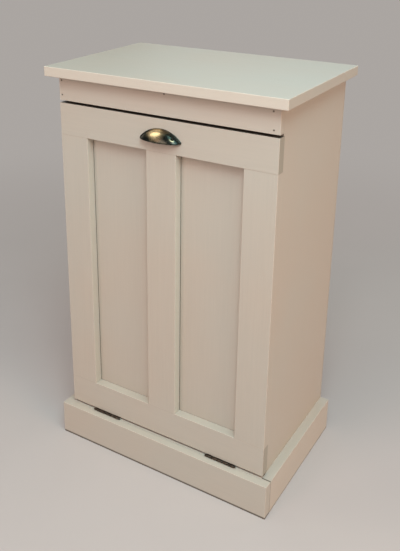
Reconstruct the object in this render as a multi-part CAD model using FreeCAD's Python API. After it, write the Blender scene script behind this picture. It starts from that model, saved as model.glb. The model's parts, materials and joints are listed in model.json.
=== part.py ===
"""Tip-out waste bin cabinet. Millimetres, +Z up, front towards -Y, origin under the middle of the top."""
import FreeCAD
import Part
import math
import os

# Boards
board_thick = 19.0
frame_board_width = 63.5
board_ease = 0.5
top_ease = 1.2

# Door, a little wider than the carcass behind it
door_height = 682.5
door_overlay = 2.0
door_stand_off = 0.5
panel_thick = 5.0
panel_overlap = 9.0

# Header and carcass
header_gap = 5.0
header_height = 48.0
carcass_width = 461.0
side_depth = 286.0
back_thick = 3.0
top_overhang_front = 20.0
top_overhang_side = 22.0
cleat_size = 19.0
cleat_inset = 12.0

# Base
base_height = 76.0
base_board_thick = 19.0

# Butt hinges between the front bottom rail and the door
hinge_inset = 92.5
hinge_length = 64.0
barrel_radius = 2.5
pin_radius = 1.2
pin_play = 0.05
leaf_thick = 1.5
leaf_depth = 15.0
knuckle_count = 5
knuckle_gap = 0.4
barrel_over_base = 0.3
barrel_reach = 3.0
pin_tip_length = 3.0
pin_tip_radius = 2.2
leaf_screw_spacing = 22.0

# Cup pull on the door's top rail
pull_width = 91.6
pull_height = 22.0
pull_depth = 19.0
pull_wall = 2.0
pull_flange_width = 2.4
pull_flange_thick = 1.6
pull_low_drop = 40.0
pull_screw_spacing = 57.0
pull_post_radius = 3.5
pull_post_rise = 7.0

# Bin cradle behind the door
cradle_thick = 12.0
cradle_height = 260.0
cradle_lift = 12.0
slat_height = 63.5
slat_end_gap = 4.0
bracket_leg = 17.0
bracket_width = 18.0
bracket_thick = 1.5

# Travel of the door and its stops
tilt_degrees = 30.0
stop_gap = 0.4
stop_thick = 15.0
stop_depth = 30.0
stop_overrun = 8.0

# Waste bin: how much it narrows towards its foot, and what it keeps free round it
bin_rim_height = 12.0
bin_lip = 4.0
bin_side_taper = 25.0
bin_depth_taper = 20.0
bin_wall = 2.4
bin_corner = 36.0
bin_stop_gap = 6.5
bin_front_gap = 6.5
bin_back_gap = 30.0
bin_header_gap = 71.2
bin_seat_gap = 0.3
bin_cradle_side_gap = 6.2
bin_cradle_rear_gap = 0.4

# Magnetic catch on the right side panel
catch_below_door_top = 24.0
catch_length = 30.0
catch_ear = 8.0
catch_thick = 14.0
catch_depth = 14.0
catch_pole_thick = 1.2
catch_pole_proud = 1.0
catch_gap = 0.3
strike_thick = 1.0
strike_length = 36.0
strike_width = 13.0
strike_side_gap = 1.0

# Fasteners: head radius, shank radius, length
wood_screw = (3.3, 1.5, 16.0)
long_screw = (3.5, 1.6, 30.0)
short_screw = (3.0, 1.4, 10.0)
pull_bolt = (3.6, 1.95, 25.5)
pan_rise = 0.6
brad_radius = 0.6
brad_length = 30.0
brad_set = 1.5
brad_hole_radius = 0.9
pin_head_radius = 1.5
pin_head_thick = 0.6
pin_shank_radius = 0.7
back_pin_length = 20.0
panel_pin_length = 14.0
dowel_radius = 4.0
dowel_length = 40.0
dowel_spacing = 32.0
cut_margin = 1.0

# Brads in the header: distances from the carcass's sides, the top and the header's lower edge
left_brad_edge = 4.0
high_right_brad_edge = 12.0
low_right_brad_edge = 10.0
middle_brad_offset = 7.0
high_brad_drop = 9.0
middle_brad_drop = 7.0
low_left_brad_rise = 11.0
low_right_brad_rise = 7.0

# Rows of brads in each base board, and of pins in the back and the panel sheet
base_set = 1.0
base_brad_rows = 3
back_rows = 6
panel_rows = 4

# Levels
rail_top = base_height + barrel_over_base
axis_z = rail_top + barrel_radius
door_low = axis_z + barrel_radius
door_top = door_low + door_height
header_low = door_top + header_gap
top_low = header_low + header_height
floor_low = rail_top - board_thick

# Depths, measured back from the front face of the header
carcass_front = board_thick
carcass_rear = carcass_front + side_depth
back_rear = carcass_rear + back_thick
door_front = -door_stand_off
door_rear = door_front + board_thick
panel_rear = door_rear + panel_thick
axis_y = -barrel_reach
top_depth = top_overhang_front + back_rear
origin_shift = top_overhang_front - top_depth / 2

# Half widths
carcass_half = carcass_width / 2
door_half = carcass_half + door_overlay
inner_half = carcass_half - board_thick
opening_half = door_half - frame_board_width
stop_x = inner_half - stop_thick

# Cradle levels, and the bin that stands in it
cradle_low = door_low + cradle_lift
cradle_top = cradle_low + cradle_height
shelf_top = cradle_low + cradle_thick
bin_low = shelf_top + bin_seat_gap
bin_top = header_low - bin_header_gap
rim_half = stop_x - bin_stop_gap
rim_front = panel_rear + bin_front_gap
rim_depth = carcass_rear - bin_back_gap - rim_front
bin_centre = rim_front + rim_depth / 2
mouth_width = 2 * (rim_half - bin_lip)
mouth_depth = rim_depth - 2 * bin_lip
foot_width = 2 * (rim_half - bin_side_taper)
foot_depth = rim_depth - 2 * bin_depth_taper

# The cradle's sides and slats clear the bin where it is widest between them
widening = (cradle_top - bin_low) / (bin_top - bin_low)
held_width = foot_width + widening * (mouth_width - foot_width)
held_depth = foot_depth + widening * (mouth_depth - foot_depth)
cradle_half = held_width / 2 + bin_cradle_side_gap
cradle_outer = cradle_half + cradle_thick
cradle_rear = bin_centre + held_depth / 2 + bin_cradle_rear_gap
cradle_depth = cradle_rear - door_rear
slat_rear = cradle_rear + cradle_thick
slat_low = cradle_top - slat_height

X_AXIS = FreeCAD.Vector(1, 0, 0)
Y_AXIS = FreeCAD.Vector(0, 1, 0)
Z_AXIS = FreeCAD.Vector(0, 0, 1)
nodes = {}


def vec(x, y, z):
    return FreeCAD.Vector(x, y, z)


def block(x0, x1, y0, y1, z0, z1):
    """Plain box between two corners."""
    return Part.makeBox(x1 - x0, y1 - y0, z1 - z0, vec(x0, y0, z0))


def board(x0, x1, y0, y1, z0, z1, ease=board_ease, along=None):
    """Box with its edges eased, all of them or only those along one axis."""
    shape = block(x0, x1, y0, y1, z0, z1)
    edges = shape.Edges
    if along is not None:
        edges = [e for e in edges if abs(e.tangentAt(e.FirstParameter).dot(along)) > 0.9]
    thinnest = min(x1 - x0, y1 - y0, z1 - z0)
    return shape.makeFillet(min(ease, thinnest / 4), edges)


def turned(points):
    """Solid turned about Z from (radius, height) points that start and end on the axis."""
    outline = [vec(r, 0, z) for r, z in points]
    face = Part.Face(Part.makePolygon(outline + [outline[0]]))
    return face.revolve(vec(0, 0, 0), Z_AXIS, 360)


def flat_head(size):
    """Countersunk wood screw pointing down from its head at the origin."""
    head, shank, length = size
    point = 3 * shank
    return turned([(0, 0), (head, 0), (shank, shank - head), (shank, point - length), (0, -length)])


def pan_head(size):
    """Pan-head screw: the head stands over the origin and the shank points down."""
    head, shank, length = size
    rise = pan_rise * head
    rim = 0.75 * head
    outline = [(0, rise), (rim, rise), (head, rise / 2), (head, 0), (shank, 0), (shank, -length)]
    return turned(outline + [(0, -length)])


def crossed(shape, size, top=0.0):
    """Cross recess cut in a screw's head."""
    reach = 0.55 * size[0]
    width = 0.14 * size[0]
    depth = 0.35 * size[0]
    slot = block(-reach, reach, -width, width, top - depth, top + cut_margin)
    return shape.cut([slot, slot.rotated(vec(0, 0, 0), Z_AXIS, 90)])


def placed(shape, place):
    """Copy of a fastener at a point, driven along a direction."""
    point, direction = place
    copy = shape.copy()
    copy.Placement = FreeCAD.Placement(point, FreeCAD.Rotation(vec(0, 0, -1), direction))
    return copy


def group(shape, places):
    return Part.makeCompound([placed(shape, place) for place in places])


def fit_fasteners(name, shape, blank, places, through):
    """Make one node of like fasteners and cut their blanks from the pieces they pass through."""
    nodes[name] = group(shape, places)
    blanks = [placed(blank, place) for place in places]
    for target in through:
        touching = [b for b in blanks if b.BoundBox.intersect(nodes[target].BoundBox)]
        if touching:
            nodes[target] = nodes[target].cut(touching)


def about_hinge(shape, degrees):
    """Shape turned with the door about the hinge axis."""
    return shape.rotated(vec(0, axis_y, axis_z), X_AXIS, degrees)


def mirrored(shape):
    return shape.mirror(vec(0, 0, 0), X_AXIS)


# Carcass: sides, floor, back and top
nodes["right_side_panel"] = board(inner_half, carcass_half, carcass_front, carcass_rear, 0, top_low)
nodes["left_side_panel"] = board(-carcass_half, -inner_half, carcass_front, carcass_rear, 0, top_low)
nodes["bottom_board"] = block(-inner_half, inner_half, carcass_front, carcass_rear, floor_low, rail_top)
nodes["back_panel"] = block(-carcass_half, carcass_half, carcass_rear, back_rear, floor_low, top_low)
top_half = carcass_half + top_overhang_side
nodes["top_board"] = board(
    -top_half, top_half, -top_overhang_front, back_rear, top_low, top_low + board_thick, top_ease)

# Front: header above the door and bottom rail below it
nodes["header_board"] = board(-door_half, door_half, 0, carcass_front, header_low, top_low)
nodes["front_bottom_rail"] = board(
    -carcass_half, carcass_half, 0, carcass_front, 0, rail_top, along=X_AXIS)

# Base skirt: the front board runs over the ends of the side boards
base_half = carcass_half + base_board_thick
nodes["base_front_board"] = board(-base_half, base_half, -base_board_thick, 0, 0, base_height)
nodes["base_right_board"] = board(carcass_half, base_half, 0, back_rear, 0, base_height)
nodes["base_left_board"] = board(-base_half, -carcass_half, 0, back_rear, 0, base_height)

# Cleats under the top and under the bottom board
cleat_x = inner_half - cleat_size
cleat_front = carcass_front + cleat_size + cleat_inset
cleat_rear = carcass_rear - cleat_inset
cleat_low = top_low - cleat_size
nodes["front_top_cleat"] = block(
    -inner_half, inner_half, carcass_front, carcass_front + cleat_size, cleat_low, top_low)
nodes["right_top_cleat"] = block(cleat_x, inner_half, cleat_front, cleat_rear, cleat_low, top_low)
nodes["left_top_cleat"] = block(-inner_half, -cleat_x, cleat_front, cleat_rear, cleat_low, top_low)
foot_low = floor_low - cleat_size
nodes["right_bottom_cleat"] = block(cleat_x, inner_half, cleat_front, cleat_rear, foot_low, floor_low)
nodes["left_bottom_cleat"] = block(-inner_half, -cleat_x, cleat_front, cleat_rear, foot_low, floor_low)

# Door frame: the rails run over the ends of the stiles
nodes["door_bottom_rail"] = board(
    -door_half, door_half, door_front, door_rear, door_low, door_low + frame_board_width)
nodes["door_top_rail"] = board(
    -door_half, door_half, door_front, door_rear, door_top - frame_board_width, door_top)
opening_low = door_low + frame_board_width
opening_top = door_top - frame_board_width
mullion_half = frame_board_width / 2
uprights = {
    "door_left_stile": (-door_half, -opening_half),
    "door_mullion": (-mullion_half, mullion_half),
    "door_right_stile": (opening_half, door_half),
}
for name, (x0, x1) in uprights.items():
    nodes[name] = board(x0, x1, door_front, door_rear, opening_low, opening_top, along=Z_AXIS)

# Panel sheet behind the frame
sheet_half = opening_half + panel_overlap
nodes["door_panel"] = block(
    -sheet_half, sheet_half, door_rear, panel_rear, opening_low - panel_overlap, opening_top + panel_overlap)


# Butt hinges
def hinge_leaf(centre, plate_low, own, notch):
    """Leaf with its share of the knuckles round the pin."""
    pitch = hinge_length / knuckle_count
    start = centre - hinge_length / 2
    shape = block(start, start + hinge_length, axis_y, leaf_depth, plate_low, plate_low + leaf_thick)
    clear = barrel_radius + knuckle_gap
    for k in notch:
        x0 = start + k * pitch - knuckle_gap / 2
        x1 = x0 + pitch + knuckle_gap
        shape = shape.cut(block(x0, x1, axis_y - clear, axis_y + clear, axis_z - clear, axis_z + clear))
    for k in own:
        x0 = start + k * pitch + knuckle_gap / 2
        knuckle = Part.makeCylinder(barrel_radius, pitch - knuckle_gap, vec(x0, axis_y, axis_z), X_AXIS)
        shape = shape.fuse(knuckle)
    bore = Part.makeCylinder(pin_radius + pin_play, hinge_length, vec(start, axis_y, axis_z), X_AXIS)
    return shape.cut(bore).removeSplitter()


def hinge_pin(centre):
    """Pin with a tapered tip at each end of the barrel."""
    half = hinge_length / 2
    neck = half + pin_play
    shoulder = 0.55 * pin_tip_radius
    outline = [
        (0, -half - pin_tip_length), (shoulder, -half - 0.85 * pin_tip_length), (pin_tip_radius, -neck),
        (pin_radius, -neck), (pin_radius, neck), (pin_tip_radius, neck),
        (shoulder, half + 0.85 * pin_tip_length), (0, half + pin_tip_length),
    ]
    pin = turned(outline).rotated(vec(0, 0, 0), Y_AXIS, 90)
    return pin.translated(vec(centre, axis_y, axis_z))


leaf_screw_y = (axis_y + barrel_radius + leaf_depth) / 2
lower_places = []
upper_places = []
even_knuckles = [k for k in range(knuckle_count) if k % 2 == 0]
odd_knuckles = [k for k in range(knuckle_count) if k % 2 == 1]
hinge_centre = door_half - hinge_inset
for side, centre in (("left", -hinge_centre), ("right", hinge_centre)):
    upper_low = door_low - leaf_thick
    nodes[side + "_hinge_lower_leaf"] = hinge_leaf(centre, rail_top, even_knuckles, odd_knuckles)
    nodes[side + "_hinge_upper_leaf"] = hinge_leaf(centre, upper_low, odd_knuckles, even_knuckles)
    nodes[side + "_hinge_pin"] = hinge_pin(centre)
    for offset in (-leaf_screw_spacing, 0, leaf_screw_spacing):
        lower_places.append((vec(centre + offset, leaf_screw_y, rail_top + leaf_thick), -Z_AXIS))
        upper_places.append((vec(centre + offset, leaf_screw_y, door_low - leaf_thick), Z_AXIS))
leaf_blank = flat_head(wood_screw)
leaf_screw = crossed(leaf_blank, wood_screw)
fit_fasteners("lower_hinge_screws", leaf_screw, leaf_blank, lower_places,
              ["left_hinge_lower_leaf", "right_hinge_lower_leaf", "front_bottom_rail"])
fit_fasteners("upper_hinge_screws", leaf_screw, leaf_blank, upper_places,
              ["left_hinge_upper_leaf", "right_hinge_upper_leaf", "door_bottom_rail"])

# Cup pull: a thin dome on a round-backed flange, open below
pull_low = door_top - pull_low_drop
flange_radius = (pull_width ** 2 / 4 + pull_height ** 2) / (2 * pull_height)
dome_drop = flange_radius - pull_height
dome_radius = flange_radius - pull_flange_width
dome_reach = pull_depth / math.sqrt(1 - (dome_drop / dome_radius) ** 2)
dome_centre = vec(0, door_front, pull_low - dome_drop)


def dome(radius, reach):
    """Half of a flattened ball whose flat side lies on the door's face."""
    ellipse = Part.Ellipse(vec(0, 0, 0), radius, reach)
    rim = Part.ArcOfEllipse(ellipse, 0, math.pi / 2).toShape()
    middle = Part.makeLine(vec(0, reach, 0), vec(0, 0, 0))
    base = Part.makeLine(vec(0, 0, 0), vec(radius, 0, 0))
    face = Part.Face(Part.Wire([rim, middle, base]))
    ball = face.revolve(vec(0, 0, 0), Y_AXIS, 360)
    return ball.rotated(vec(0, 0, 0), X_AXIS, 180).translated(dome_centre)


pull_outer = dome(dome_radius, dome_reach)
pull_inner = dome(dome_radius - pull_wall, dome_reach - pull_wall)
flange = Part.makeCylinder(flange_radius, pull_flange_thick, dome_centre, -Y_AXIS)
posts = []
for side in (-1, 1):
    foot = vec(side * pull_screw_spacing / 2, door_front, pull_low + pull_post_rise)
    posts.append(Part.makeCylinder(pull_post_radius, pull_depth, foot, -Y_AXIS).common(pull_outer))
above = block(-pull_width, pull_width, door_front - 2 * pull_depth, door_front, pull_low, door_top)
shell = pull_outer.fuse(flange).cut(pull_inner).fuse(posts).common(above)
nodes["cup_pull"] = shell.removeSplitter()
bolt_blank = pan_head(pull_bolt)
bolt_places = [
    (vec(side * pull_screw_spacing / 2, door_rear, pull_low + pull_post_rise), -Y_AXIS) for side in (-1, 1)]
pull_screw = crossed(bolt_blank, pull_bolt, pan_rise * pull_bolt[0])
fit_fasteners("pull_screws", pull_screw, bolt_blank, bolt_places, ["cup_pull", "door_top_rail"])

# Bin cradle: shelf and slats between two sides, on the back of the door
nodes["cradle_right_side"] = board(
    cradle_half, cradle_outer, door_rear, cradle_rear, cradle_low, cradle_top)
nodes["cradle_left_side"] = board(
    -cradle_outer, -cradle_half, door_rear, cradle_rear, cradle_low, cradle_top)
nodes["cradle_shelf"] = block(-cradle_half, cradle_half, panel_rear, cradle_rear, cradle_low, shelf_top)
stop_slat_half = inner_half - slat_end_gap
nodes["cradle_stop_slat"] = board(
    -stop_slat_half, stop_slat_half, cradle_rear, slat_rear, slat_low, cradle_top)
nodes["cradle_low_slat"] = board(
    -cradle_outer, cradle_outer, cradle_rear, slat_rear, cradle_low, cradle_low + slat_height)

# Screws of the cradle: shelf from both sides, slats from behind
cradle_places = []
rail_middle = cradle_half + cradle_thick / 2
for side in (-1, 1):
    for y in (panel_rear + cradle_depth / 4, cradle_rear - cradle_depth / 4):
        cradle_places.append((vec(side * cradle_outer, y, cradle_low + cradle_thick / 2), vec(-side, 0, 0)))
    for z0 in (cradle_low, slat_low):
        for z in (z0 + slat_height / 3, z0 + 2 * slat_height / 3):
            cradle_places.append((vec(side * rail_middle, slat_rear, z), -Y_AXIS))
cradle_blank = flat_head(long_screw)
fit_fasteners("cradle_screws", crossed(cradle_blank, long_screw), cradle_blank, cradle_places,
              ["cradle_right_side", "cradle_left_side", "cradle_shelf", "cradle_stop_slat",
               "cradle_low_slat"])

# Angle brackets that hold the cradle to the stiles
bracket_levels = (cradle_low + cradle_height / 6, cradle_top - cradle_height / 6)
brackets = []
stile_places = []
side_places = []
for z in bracket_levels:
    low = z - bracket_width / 2
    high = z + bracket_width / 2
    on_stile = block(
        cradle_outer, cradle_outer + bracket_leg, door_rear, door_rear + bracket_thick, low, high)
    on_side = block(
        cradle_outer, cradle_outer + bracket_thick, door_rear, door_rear + bracket_leg, low, high)
    bracket = on_stile.fuse(on_side).removeSplitter()
    brackets += [bracket, mirrored(bracket)]
    reach = 0.62 * bracket_leg
    for side in (-1, 1):
        stile_places.append(
            (vec(side * (cradle_outer + reach), door_rear + bracket_thick, z), -Y_AXIS))
        side_places.append(
            (vec(side * (cradle_outer + bracket_thick), door_rear + reach, z), vec(-side, 0, 0)))
nodes["cradle_brackets"] = Part.makeCompound(brackets)
bracket_blank = pan_head(short_screw)
bracket_screw = crossed(bracket_blank, short_screw, pan_rise * short_screw[0])
fit_fasteners("bracket_screws", bracket_screw, bracket_blank, stile_places + side_places,
              ["cradle_brackets", "door_left_stile", "door_right_stile", "door_bottom_rail",
               "cradle_left_side", "cradle_right_side"])

# Stop cleats: where the ends of the upper slat arrive when the door is fully out
stop_face = cradle_rear - stop_gap
stop_closed = board(
    stop_x, inner_half, stop_face - stop_depth, stop_face,
    slat_low - stop_overrun, cradle_top + stop_overrun)
stop = about_hinge(stop_closed, tilt_degrees)
nodes["right_stop_cleat"] = stop
nodes["left_stop_cleat"] = mirrored(stop)
stop_places = []
for z in (slat_low, cradle_top):
    mark = about_hinge(Part.Vertex(stop_x, stop_face - stop_depth / 2, z), tilt_degrees).Point
    for side in (-1, 1):
        stop_places.append((vec(side * mark.x, mark.y, mark.z), vec(side, 0, 0)))
fit_fasteners("stop_screws", crossed(cradle_blank, long_screw), cradle_blank, stop_places,
              ["right_stop_cleat", "left_stop_cleat", "right_side_panel", "left_side_panel"])


# Waste bin: tapered, thin-walled, with a lip round its mouth
def rounded_outline(width, depth, corner, centre_y, z):
    """Closed wire of a rectangle with round corners, lying flat."""
    a = width / 2
    b = depth / 2
    diag = corner * (1 - math.sqrt(0.5))
    sides = []
    corners = [(1, 1), (-1, 1), (-1, -1), (1, -1)]
    for k, (sx, sy) in enumerate(corners):
        before = vec(sx * a, centre_y + sy * (b - corner), z)
        after = vec(sx * (a - corner), centre_y + sy * b, z)
        if k % 2:
            before, after = after, before
        middle = vec(sx * (a - diag), centre_y + sy * (b - diag), z)
        sides.append((before, middle, after))
    edges = []
    for k, (start, middle, end) in enumerate(sides):
        edges.append(Part.Arc(start, middle, end).toShape())
        edges.append(Part.makeLine(end, sides[(k + 1) % 4][0]))
    return Part.Wire(edges)


inset = 2 * bin_wall
foot_wire = rounded_outline(foot_width, foot_depth, bin_corner, bin_centre, bin_low)
mouth_wire = rounded_outline(mouth_width, mouth_depth, bin_corner, bin_centre, bin_top)
inner_foot = rounded_outline(
    foot_width - inset, foot_depth - inset, bin_corner - bin_wall, bin_centre, bin_low + bin_wall)
inner_mouth = rounded_outline(
    mouth_width - inset, mouth_depth - inset, bin_corner - bin_wall, bin_centre, bin_top)
rim_wire = rounded_outline(
    2 * rim_half, rim_depth, bin_corner + bin_lip, bin_centre, bin_top - bin_rim_height)
body = Part.makeLoft([foot_wire, mouth_wire], True, True)
hollow = Part.makeLoft([inner_foot, inner_mouth], True, True)
rim = Part.Face(rim_wire).extrude(vec(0, 0, bin_rim_height))
nodes["waste_bin"] = body.fuse(rim).cut(hollow).removeSplitter()

# Magnetic catch beside the door's top corner and the strike plate it holds
catch_z = door_top - catch_below_door_top
pole_front = door_rear + strike_thick + catch_gap
housing_front = pole_front + catch_pole_proud
housing_rear = housing_front + catch_depth
half_catch = catch_length / 2
catch_x = inner_half - catch_thick
ear_thick = catch_thick / 4
housing = board(catch_x, inner_half, housing_front, housing_rear, catch_z - half_catch, catch_z + half_catch)
ears = block(inner_half - ear_thick, inner_half, housing_front, housing_rear,
             catch_z - half_catch - catch_ear, catch_z + half_catch + catch_ear)
magnet_x0 = catch_x + catch_thick / 4
magnet_x1 = inner_half - catch_thick / 4
pole_rear = housing_rear - catch_depth / 5
pole_half = 0.85 * half_catch
pole_left = block(
    magnet_x0, magnet_x0 + catch_pole_thick, pole_front, pole_rear, catch_z - pole_half, catch_z + pole_half)
pole_right = block(
    magnet_x1 - catch_pole_thick, magnet_x1, pole_front, pole_rear, catch_z - pole_half, catch_z + pole_half)
magnet = block(magnet_x0 + catch_pole_thick, magnet_x1 - catch_pole_thick, housing_front, pole_rear,
               catch_z - pole_half, catch_z + pole_half)
pocket = block(magnet_x0, magnet_x1, housing_front, pole_rear, catch_z - pole_half, catch_z + pole_half)
nodes["catch_housing"] = housing.fuse(ears).cut(pocket).removeSplitter()
nodes["catch_magnet"] = Part.makeCompound([magnet, pole_left, pole_right])
catch_screw_y = housing_front + catch_depth / 2
catch_screw_reach = half_catch + catch_ear / 2
catch_places = []
for side in (-1, 1):
    catch_screw_z = catch_z + side * catch_screw_reach
    catch_places.append((vec(inner_half - ear_thick, catch_screw_y, catch_screw_z), X_AXIS))
fit_fasteners("catch_screws", bracket_screw, bracket_blank, catch_places,
              ["catch_housing", "right_side_panel"])
strike_x1 = inner_half - strike_side_gap
nodes["catch_strike"] = block(strike_x1 - strike_width, strike_x1, door_rear, door_rear + strike_thick,
                              catch_z - strike_length / 2, catch_z + strike_length / 2)
strike_blank = flat_head(short_screw)
fit_fasteners("strike_screw", crossed(strike_blank, short_screw), strike_blank,
              [(vec(strike_x1 - strike_width / 2, door_rear + strike_thick, catch_z), -Y_AXIS)],
              ["catch_strike", "door_right_stile", "door_top_rail"])

# Screws up through the top cleats, and sideways through all cleats into the sides
top_cleat_places = []
bottom_cleat_places = []
cleat_third = (cleat_rear - cleat_front) / 3
for side in (-1, 1):
    middle_x = side * (inner_half - cleat_size / 2)
    inner_x = side * cleat_x
    for share in (0.5, 2.5):
        top_cleat_places.append((vec(middle_x, cleat_front + share * cleat_third, cleat_low), Z_AXIS))
    for share in (1, 2):
        y = cleat_front + share * cleat_third
        top_cleat_places.append((vec(inner_x, y, cleat_low + cleat_size / 2), vec(side, 0, 0)))
        bottom_cleat_places.append((vec(inner_x, y, foot_low + cleat_size / 2), vec(side, 0, 0)))
fit_fasteners("top_cleat_screws", crossed(cradle_blank, long_screw), cradle_blank, top_cleat_places,
              ["right_top_cleat", "left_top_cleat", "top_board", "right_side_panel", "left_side_panel"])
fit_fasteners("bottom_cleat_screws", crossed(cradle_blank, long_screw), cradle_blank, bottom_cleat_places,
              ["right_bottom_cleat", "left_bottom_cleat", "right_side_panel", "left_side_panel"])


def brad(length):
    """Headless brad pointing down from the origin."""
    return turned([(0, 0), (brad_radius, 0), (brad_radius, 2 * brad_radius - length), (0, -length)])


def flat_pin(length):
    """Pin with a thin flat head whose face is at the origin."""
    point = 2 * pin_shank_radius
    return turned([
        (0, 0), (pin_head_radius, 0), (pin_head_radius, -pin_head_thick),
        (pin_shank_radius, -pin_head_thick), (pin_shank_radius, point - length), (0, -length)])


# Header brads, set below the surface in open holes: two at each end and one into the cleat
header_marks = [
    (left_brad_edge - carcass_half, top_low - high_brad_drop),
    (left_brad_edge - carcass_half, header_low + low_left_brad_rise),
    (middle_brad_offset, top_low - middle_brad_drop),
    (carcass_half - high_right_brad_edge, top_low - high_brad_drop),
    (carcass_half - low_right_brad_edge, header_low + low_right_brad_rise),
]
header_places = [(vec(x, brad_set, z), Y_AXIS) for x, z in header_marks]
fit_fasteners("header_brads", brad(brad_length), brad(brad_length), header_places,
              ["header_board", "left_side_panel", "right_side_panel", "front_top_cleat"])
hole_tools = []
for x, z in header_marks:
    hole_tools.append(Part.makeCylinder(brad_hole_radius, brad_set, vec(x, 0, z), Y_AXIS))
nodes["header_board"] = nodes["header_board"].cut(hole_tools)

# Base brads, sunk and filled over
base_places = []
for row in range(base_brad_rows):
    share = (row + 0.5) / base_brad_rows
    for z in (base_height / 4, 3 * base_height / 4):
        x = share * (carcass_half - board_thick)
        for side in (-1, 1):
            base_places.append((vec(side * x, base_set - base_board_thick, z), Y_AXIS))
            y = share * back_rear
            base_places.append((vec(side * (base_half - base_set), y, z), vec(-side, 0, 0)))
fit_fasteners("base_brads", brad(brad_length), brad(brad_length), base_places,
              ["base_front_board", "base_left_board", "base_right_board", "front_bottom_rail",
               "left_side_panel", "right_side_panel"])

# Pins round the back panel
back_places = []
pin_margin = board_thick / 2
for row in range(back_rows):
    z = floor_low + pin_margin + row * (top_low - floor_low - 2 * pin_margin) / (back_rows - 1)
    for side in (-1, 1):
        back_places.append((vec(side * (carcass_half - pin_margin), back_rear, z), -Y_AXIS))
for x in (-carcass_half / 3, carcass_half / 3):
    back_places.append((vec(x, back_rear, floor_low + pin_margin), -Y_AXIS))
fit_fasteners("back_pins", flat_pin(back_pin_length), flat_pin(back_pin_length), back_places,
              ["back_panel", "left_side_panel", "right_side_panel", "bottom_board"])

# Pins through the panel sheet into the frame
panel_places = []
panel_margin = panel_overlap / 2
for x in (-0.8 * opening_half, -0.3 * opening_half, 0.3 * opening_half, 0.8 * opening_half):
    for z in (opening_low - panel_margin, opening_top + panel_margin):
        panel_places.append((vec(x, panel_rear, z), -Y_AXIS))
for row in range(panel_rows):
    z = opening_low + (row + 0.5) * (opening_top - opening_low) / panel_rows
    for x in (-opening_half - panel_margin, 0, opening_half + panel_margin):
        panel_places.append((vec(x, panel_rear, z), -Y_AXIS))
fit_fasteners("panel_pins", flat_pin(panel_pin_length), flat_pin(panel_pin_length), panel_places,
              ["door_panel", "door_top_rail", "door_bottom_rail", "door_left_stile", "door_right_stile",
               "door_mullion"])

# Dowels between the uprights and the rails
dowel = Part.makeCylinder(dowel_radius, dowel_length, vec(0, 0, 0), -Z_AXIS)
dowel_y = (door_front + door_rear) / 2
dowel_places = []
for x0, x1 in uprights.values():
    for offset in (-dowel_spacing / 2, dowel_spacing / 2):
        for z in (opening_low, opening_top):
            dowel_places.append((vec((x0 + x1) / 2 + offset, dowel_y, z + dowel_length / 2), -Z_AXIS))
fit_fasteners("frame_dowels", dowel, dowel, dowel_places,
              ["door_top_rail", "door_bottom_rail"] + list(uprights))

os.makedirs("parts", exist_ok=True)
for name, shape in nodes.items():
    moved = shape.translated(vec(0, origin_shift, 0))
    moved.exportStep("parts/" + name + ".step")
    for solid in moved.Solids:
        if not solid.isValid() or solid.Volume <= 0:
            print("check", name)
print(len(nodes), "nodes; hinge axis y", axis_y + origin_shift, "z", axis_z, "top", top_low + board_thick)
print("door", door_low, door_top, "header", header_low, "bin", bin_low, bin_top, "depth", top_depth)
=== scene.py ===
import json
import math

import bmesh
import bpy
from mathutils import Matrix, Vector

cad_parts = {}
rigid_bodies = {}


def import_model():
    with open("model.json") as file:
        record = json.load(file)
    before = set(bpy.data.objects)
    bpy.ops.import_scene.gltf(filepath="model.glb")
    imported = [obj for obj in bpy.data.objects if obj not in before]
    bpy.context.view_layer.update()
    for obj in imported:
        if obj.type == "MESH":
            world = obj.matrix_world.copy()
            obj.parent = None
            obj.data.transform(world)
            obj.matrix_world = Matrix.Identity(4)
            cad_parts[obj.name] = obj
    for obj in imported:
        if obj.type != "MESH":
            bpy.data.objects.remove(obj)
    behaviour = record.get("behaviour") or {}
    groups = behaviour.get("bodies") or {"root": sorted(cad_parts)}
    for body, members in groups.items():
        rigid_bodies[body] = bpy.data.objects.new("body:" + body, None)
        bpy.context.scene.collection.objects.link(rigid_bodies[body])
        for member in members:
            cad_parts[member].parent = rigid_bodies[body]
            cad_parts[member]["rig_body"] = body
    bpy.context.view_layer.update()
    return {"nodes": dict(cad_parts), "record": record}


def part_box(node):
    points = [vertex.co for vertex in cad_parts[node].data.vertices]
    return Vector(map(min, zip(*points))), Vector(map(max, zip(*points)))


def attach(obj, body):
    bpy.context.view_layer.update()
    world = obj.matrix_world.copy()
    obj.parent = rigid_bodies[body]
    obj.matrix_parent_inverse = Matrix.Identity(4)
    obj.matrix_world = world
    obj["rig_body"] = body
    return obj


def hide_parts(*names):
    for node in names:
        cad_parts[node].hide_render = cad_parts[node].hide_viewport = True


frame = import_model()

slotOf = {part["node"]: part["material_slot"] for part in frame["record"]["subparts"]}
bodyOf = {name: node["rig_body"] for name, node in frame["nodes"].items()}
xAxis, yAxis, zAxis = Vector((1, 0, 0)), Vector((0, 1, 0)), Vector((0, 0, 1))

# Camera: the photo's angle, read from the corners of the boards
cameraView = {
    "place": (0.7036, -1.2332, 1.1119),
    "turn": 32.34,
    "dip": -19.48,
    "lens": 48.86,
    "shift": (0.0594, -0.1788),
}


def makeCamera():
    data = bpy.data.cameras.new("camera")
    data.lens = cameraView["lens"]
    data.shift_x, data.shift_y = cameraView["shift"]
    camera = bpy.data.objects.new("camera", data)
    camera.location = cameraView["place"]
    camera.rotation_euler = (math.radians(90 + cameraView["dip"]), 0, math.radians(cameraView["turn"]))
    bpy.context.scene.collection.objects.link(camera)
    bpy.context.scene.camera = camera


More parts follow.
